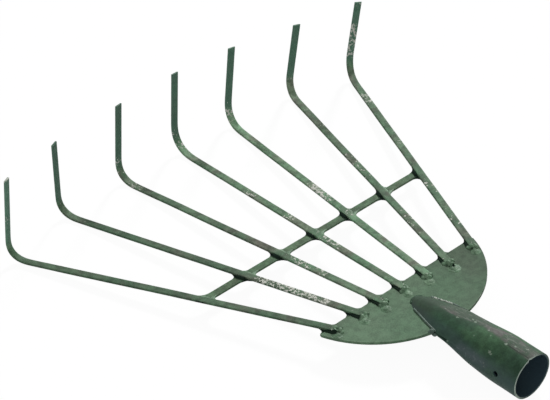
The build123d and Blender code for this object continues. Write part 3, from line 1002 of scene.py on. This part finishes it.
# one entry per tine: its pool and lumps as (across, along, radius, height) and its pits as (across, along,
# radius), all measured from the middle of the tine's inner end
tineEnds = [
    ((-5.2, 1.5, 3.9, 1.4), [(-2.8, 4.5, 2.2, 1.4), (0.4, 5.0, 2.2, 1.6), (-0.5, 1.0, 2.1, 1.9)],
     [(-1.0, 3.0, 1.0)]),
    ((-5.6, -2.6, 3.8, 1.7), [(-2.8, 1.6, 2.5, 1.5), (0.6, 0.6, 2.2, 1.8), (1.8, -1.5, 1.3, 1.4)],
     [(-0.9, 2.4, 1.1)]),
    ((-4.8, -4.8, 3.9, 2.1), [(2.0, 0.6, 2.6, 1.4), (-2.0, 0.2, 2.2, 1.4), (-1.0, -2.0, 1.9, 1.8)],
     [(-0.3, 2.6, 1.0), (2.8, -2.0, 1.0)]),
    ((-2.8, -4.4, 3.6, 2.1), [(-1.4, 1.6, 2.6, 1.3), (1.2, 2.2, 2.5, 1.3), (0.6, -0.6, 2.2, 1.5)],
     [(3.3, -0.4, 1.1), (0.2, 3.6, 0.7)]),
    ((-3.8, -7.0, 3.8, 2.1), [(1.3, -0.8, 2.6, 1.6), (-1.2, 0.6, 2.2, 1.3), (-1.0, -3.6, 2.0, 1.9)],
     [(3.6, -2.4, 1.1), (1.6, -8.6, 0.9)]),
    ((0.4, -8.6, 4.7, 1.7), [(2.8, -0.4, 2.2, 1.7), (-0.6, -0.6, 2.4, 1.3), (0.6, -4.6, 2.0, 2.3)],
     [(0.9, -6.8, 1.4), (-2.6, -5.0, 0.9)]),
    ((-0.6, -6.6, 3.7, 2.0), [(1.6, -2.6, 2.1, 1.9), (1.4, 0.4, 2.4, 1.4), (-1.6, 0.6, 2.0, 1.3)],
     [(-2.2, -2.4, 1.2)]),
]


def addBall(form, turn, centre, radii):
    for vertex in bmesh.ops.create_icosphere(form, subdivisions=3, radius=1.0)["verts"]:
        local = Vector([k * radius for k, radius in zip(vertex.co, radii)]) + Vector(centre)
        vertex.co = toMetres(turn @ local)


# filled corner between a strip and the part that it crosses, its top sloping up to the strip
def webMesh(corner, first, side, leg, bottom):
    second = Vector((side, 0, 0))
    rise, paintedShadow = (webs[name][(side + 1) // 2] for name in ("rise", "paintedShadow"))
    top = plateTop + webs["film"]
    halfAngle = first.angle(second) / 2
    between = (first + second).normalized()
    centre = corner + between * (leg * math.tan(halfAngle)) / math.sin(halfAngle)
    start = corner + first * leg - centre
    end = corner + second * leg - centre
    turnAxis = start.cross(end).normalized()
    intoFirst = (first * first.dot(second) - second).normalized()
    intoSecond = (second * first.dot(second) - first).normalized()
    deep = corner - between * webs["root"]
    profile = webs["profile"]
    vertices, pits = [], []
    for step in range(webs["steps"] + 1):
        share = step / webs["steps"]
        edge = centre + Matrix.Rotation(start.angle(end) * share, 3, turnAxis) @ start
        edge += between * wobble(edge, 0.35, 5) * 0.3
        if share < 0.5:
            root = (corner + first * leg + intoFirst * webs["bite"]).lerp(deep, share * 2)
        else:
            root = deep.lerp(corner + second * leg + intoSecond * webs["bite"], share * 2 - 1)
        crest = top + rise * (1 - share) ** 1.2
        under = bottom + (top - bottom) * 0.95 * (1 - share) ** 1.5
        thick = min(1.0, crest - under)
        rows = [(outward, crest + drop * thick) for outward, drop in profile]
        rows += [(outward, under - drop * thick) for outward, drop in reversed(profile)]
        for outward, height in rows:
            flat = root.lerp(edge, outward)
            vertices.append(Vector((flat.x, flat.y, height)))
            # painted shadow of the tine on the web beside it
            pits.append(paintedShadow * smoothStep(*webs["shadowReach"], (corner - flat).dot(intoFirst)))
    return vertices, ringFaces(len(profile) * 2, webs["steps"] + 1), pits


def makeWebs(name, node, corners, paint="plate"):
    vertices, faces, pits = [], [], []
    for corner in corners:
        more, sides, dark = webMesh(*corner)
        faces += [tuple(k + len(vertices) for k in face) for face in sides]
        vertices += more
        pits += dark
    if not vertices:
        return
    thing = meshObject(name, vertices, faces)
    storeMarks(thing, pits=pits)
    turnOutward(thing)
    shadeSmooth(thing, 60)
    finishPiece(thing, paints[paint], node)


# one skin over all the balls; where calm is low, the skin stays even
def meltTogether(name, form, seed, calm=lambda point: 1.0):
    bmesh.ops.recalc_face_normals(form, faces=form.faces)
    mesh = bpy.data.meshes.new(name)
    form.to_mesh(mesh)
    form.free()
    thing = addThing(name, mesh)
    remesh = thing.modifiers.new("melt", "REMESH")
    remesh.mode = "VOXEL"
    remesh.voxel_size = melt["grain"] * millimetre
    ease = thing.modifiers.new("ease", "SMOOTH")
    ease.factor = 0.5
    ease.iterations = melt["rounds"]
    applyModifiers(thing)
    normals = [vertex.normal.copy() for vertex in thing.data.vertices]
    for vertex, normal in zip(thing.data.vertices, normals):
        point = vertex.co / millimetre
        push = wobble(point, 0.45, seed) * 0.8 + wobble(point, 1.1, seed + 3) * 0.45
        push *= 0.12 + 0.88 * calm(point)
        vertex.co += normal * push * melt["lumps"] * millimetre
    shadeSmooth(thing, 75)
    return thing


# from a tine's own directions, with the origin on the plate's top, to the rake's
def tineTurn(tine, origin):
    along, across, _ = tineAxes(tine)
    place = Matrix.Translation((origin.x, origin.y, plateTop))
    return place @ Matrix((across, along, Vector((0, 0, 1)))).transposed().to_4x4()


def addPool(form, turn, pool):
    x, y, wide, high = pool
    addBall(form, turn, (x, y, -high * 0.6), (wide * 1.45, wide * 1.4, high * 1.2))
    addBall(form, turn, (x, y, -high * 0.3), (wide * 0.95, wide * 0.9, high * 1.3))
    addBall(form, turn, (x * 0.8 + 0.6, y * 0.8, 0.0), (wide * 0.85, wide * 0.85, high * 0.7))
    for share in (0.25, 0.5, 0.75):    # neck between the pool and the end of the strip
        rest = 1 - share
        addBall(form, turn, (x * share, y * share - 0.4, 0.6 * rest), (2.6, 2.4, high * 0.6 + 0.9 * rest))


# presses the pits into the weld with painted shade in them, paints the tine's shadow on the weld along its -X
# side, and keeps its sunk parts inside the plate
def markTineWeld(thing, back, pitPlaces):
    pits = []
    for vertex in thing.data.vertices:
        local = back @ (vertex.co / millimetre)
        shade = max(1 - smoothStep(radius * 0.45, radius * 1.25, math.hypot(local.x - x, local.y - y))
                    for x, y, radius in pitPlaces)
        if local.z > 0:
            vertex.co -= Vector((0, 0, melt["pitDepth"] * shade)) * millimetre
        vertex.co.z = max(vertex.co.z, (plateTop - melt["sunk"]) * millimetre)
        paintedShadow = plateau(local.x, -2.6, -3.4, -5.6, -6.6) * smoothStep(1.0, 3.0, local.y)
        pits.append(max(shade, paintedShadow * 0.95))
    storeMarks(thing, pits=pits)


def makeTineWeld(number, tine):
    form = bmesh.new()
    turn = tineTurn(tine, tineStart(tine))
    back = turn.inverted()
    pool, lumps, pits = tineEnds[number]
    addPool(form, turn, pool)
    for x, y, radius, height in lumps:
        addBall(form, turn, (x, y, 2.6 + height * 0.5 - radius), (radius, radius, radius))
    reach = (back @ sideCorner(tine, -1, plate["front"])).y - 1.6
    for step in range(12):
        share = step / 11
        radius = beads[-1] * (1 - 0.25 * share)
        centre = (-strip["width"] / 2 - 0.1, 0.5 + (reach - 0.5) * share, 0.0)
        addBall(form, turn, centre, (radius * 1.8, 1.6, radius))

    def calm(point):
        local = back @ point
        if local.x < -1:
            return smoothStep(2.5, -0.5, local.y - abs(local.x) * 0.1)
        return smoothStep(8, 5, local.y)

    node = "tine_weld_" + str(number + 1)
    corners = []
    for side, leg in zip((-1, 1), webs["plateLegs"][number]):
        corner = sideCorner(tine, side, plate["front"])
        if abs(corner.x + side * leg * 0.7 - plate["offset"]) < plate["corner"] + 3:
            corners.append((corner, tineAxes(tine)[0], side, leg, plateBottom + webs["sink"]))
    makeWebs("plateWebs" + str(number + 1), node, corners)
    thing = meltTogether("tineWeld" + str(number + 1), form, number, calm)
    markTineWeld(thing, back, pits)
    finishPiece(thing, paints["weld"], node)


def makeCrossbarWeld(number, tine):
    form = bmesh.new()
    turn = tineTurn(tine, tineCrossing(tine))
    back = turn.inverted()
    along = tineAxes(tine)[0]
    bottom = plateTop - crossbar["thickness"] + webs["sink"]
    edges = {ahead: crossbar["place"] + ahead * crossbar["width"] / 2 for ahead in (-1, 1)}
    corners = {-1: [], 1: []}
    for side, bead in beads.items():
        if (number, side) in ((0, -1), (len(tines) - 1, 1)):    # the crossbar ends here
            continue
        near, far = ((back @ sideCorner(tine, side, edges[ahead])).y - ahead for ahead in edges)
        for step in range(8):
            height = 0.0 if side < 0 else 0.5
            centre = (side * (strip["width"] / 2 + 0.1), near + (far - near) * step / 7, height)
            addBall(form, turn, centre, (bead * 1.8, 1.4, bead * 1.1))
        for ahead, edge in edges.items():
            isFirst = (number, side, ahead) == (0, 1, 1)
            leg = webs["firstLeg"] if isFirst else webs["crossbarLegs"][side, ahead]
            corners[side].append((sideCorner(tine, side, edge), along * ahead, side, leg, bottom))
    node = "crossbar_weld_" + str(number + 1)
    makeWebs("crossbarWebsLeft" + str(number + 1), node, corners[-1])
    makeWebs("crossbarWebsRight" + str(number + 1), node, corners[1], "weld")
    thing = meltTogether("crossbarWeld" + str(number + 1), form, number + 11, lambda point: 0.35)
    # painted shadow along the tine's -X side of the bead
    places = [(back @ (vertex.co / millimetre)).x for vertex in thing.data.vertices]
    storeMarks(thing, pits=[0.97 * plateau(x, -2.9, -3.4, -5.6, -6.8) for x in places])
    finishPiece(thing, paints["weld"], node)


for number, tine in enumerate(tines):
    makeTineWeld(number, tine)
    makeCrossbarWeld(number, tine)
print("tine and crossbar welds made")


def makeCrossbar():
    low, high = plateTop - crossbar["thickness"], plateTop
    vertices = []
    for step in range(crossbar["columns"] + 1):
        share = step / crossbar["columns"]
        for side, height in ((-1, low), (1, low), (1, high), (-1, high)):
            edge = crossbar["place"] + side * (crossbar["width"] / 2)
            left = sideCorner(tines[0], -1, edge).x + crossbar["insets"][0]
            right = sideCorner(tines[-1], 1, edge).x - crossbar["insets"][1]
            x = left + (right - left) * share
            edge += wobble((x, side * 9, 0), crossbar["waveScale"], 8) * crossbar["wave"]
            vertices.append((x, edge, height))
    thing = meshObject("crossbarStrip", vertices, ringFaces(4, crossbar["columns"] + 1))
    softenEdges(thing, crossbar["bevel"])
    applyModifiers(thing)
    turnOutward(thing)
    shadeSmooth(thing, 40)
    finishPiece(thing, paints["crossbar"], "crossbar")


makeCrossbar()
print("crossbar made")


# places in mm from the socket's mouth; each bead has its name, node, side, radius, height, seed and roughness
lipWelds = {
    "start": 84.5, "end": 115.0, "balls": 40, "thinShare": 0.45, "thinEnd": (90, 97), "worn": (91, 98),
    "beads": [
        ("Left", "left", -1, 0.9, plateTop + 0.5, 31, 0.03), ("Right", "right", 1, 1.3, plateTop, 32, 0.16),
        ("UnderLeft", "under_left", -1, 1.7, plateBottom, 33, 0.2),
        ("UnderRight", "under_right", 1, 1.7, plateBottom, 34, 0.2),
    ],
    "noseRadius": 1.6, "noseHalf": 6.5, "noseSeed": 35, "tackRadius": 2.2, "tackSeed": 36,
}
still = Matrix.Identity(4)


# bead along the line where the socket's skin meets the plate
def makeLipWeld(name, node, side, radius, height, seed, rough):
    form = bmesh.new()
    for step in range(lipWelds["balls"]):
        place = lipWelds["start"] + (lipWelds["end"] - lipWelds["start"]) * step / (lipWelds["balls"] - 1)
        point = socketPoint(place, lipAngle(place, height))
        size = radius * (1 + rough * math.sin(step * 2.1 + seed))
        if side > 0 and height > plate["middle"]:    # the upper right bead starts thin
            thin = lipWelds["thinShare"]
            size *= thin + (1 - thin) * smoothStep(*lipWelds["thinEnd"], point.y)
        addBall(form, still, (side * abs(point.x), point.y, height), (size, size * 1.2, size))
    thing = meltTogether("socketWeld" + name, form, seed, lambda point: rough * 3)
    places = [vertex.co.y / millimetre for vertex in thing.data.vertices]
    storeMarks(thing, wear=[smoothStep(*lipWelds["worn"], y) if side > 0 else 0.0 for y in places])
    finishPiece(thing, paints["lip"], "socket_weld_" + node)


def makeNoseWeld():
    form = bmesh.new()
    for step in range(9):
        share = step / 4 - 1
        size = lipWelds["noseRadius"] * (1 - 0.35 * share * share)
        place = socket["length"] - 0.3 - 2.2 * share * share
        centre = (lipWelds["noseHalf"] * share * 0.85, place, plateTop + 0.1)
        addBall(form, still, centre, (size * 1.2, size, size * 0.9))
    thing = meltTogether("socketWeldNose", form, lipWelds["noseSeed"])
    finishPiece(thing, paints["nose"], "socket_weld_nose")


def makeTack():
    form = bmesh.new()
    low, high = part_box("socket_tack")
    centre = (low + high) / 2 / millimetre
    size = lipWelds["tackRadius"]
    addBall(form, still, centre, (size, size * 1.05, size * 0.95))
    addBall(form, still, centre + Vector((-1.6, 1.2, -0.3)), (size * 0.5, size * 0.6, size * 0.5))
    thing = meltTogether("socketTack", form, lipWelds["tackSeed"])
    finishPiece(thing, paints["lip"], "socket_tack")


for bead in lipWelds["beads"]:
    makeLipWeld(*bead)
makeNoseWeld()
makeTack()
print("socket welds made")


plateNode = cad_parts["plate"]
plateNode.data.materials.clear()
plateNode.data.materials.append(paints["plate"])
softenEdges(plateNode, plate["bevel"])
print("plate painted")
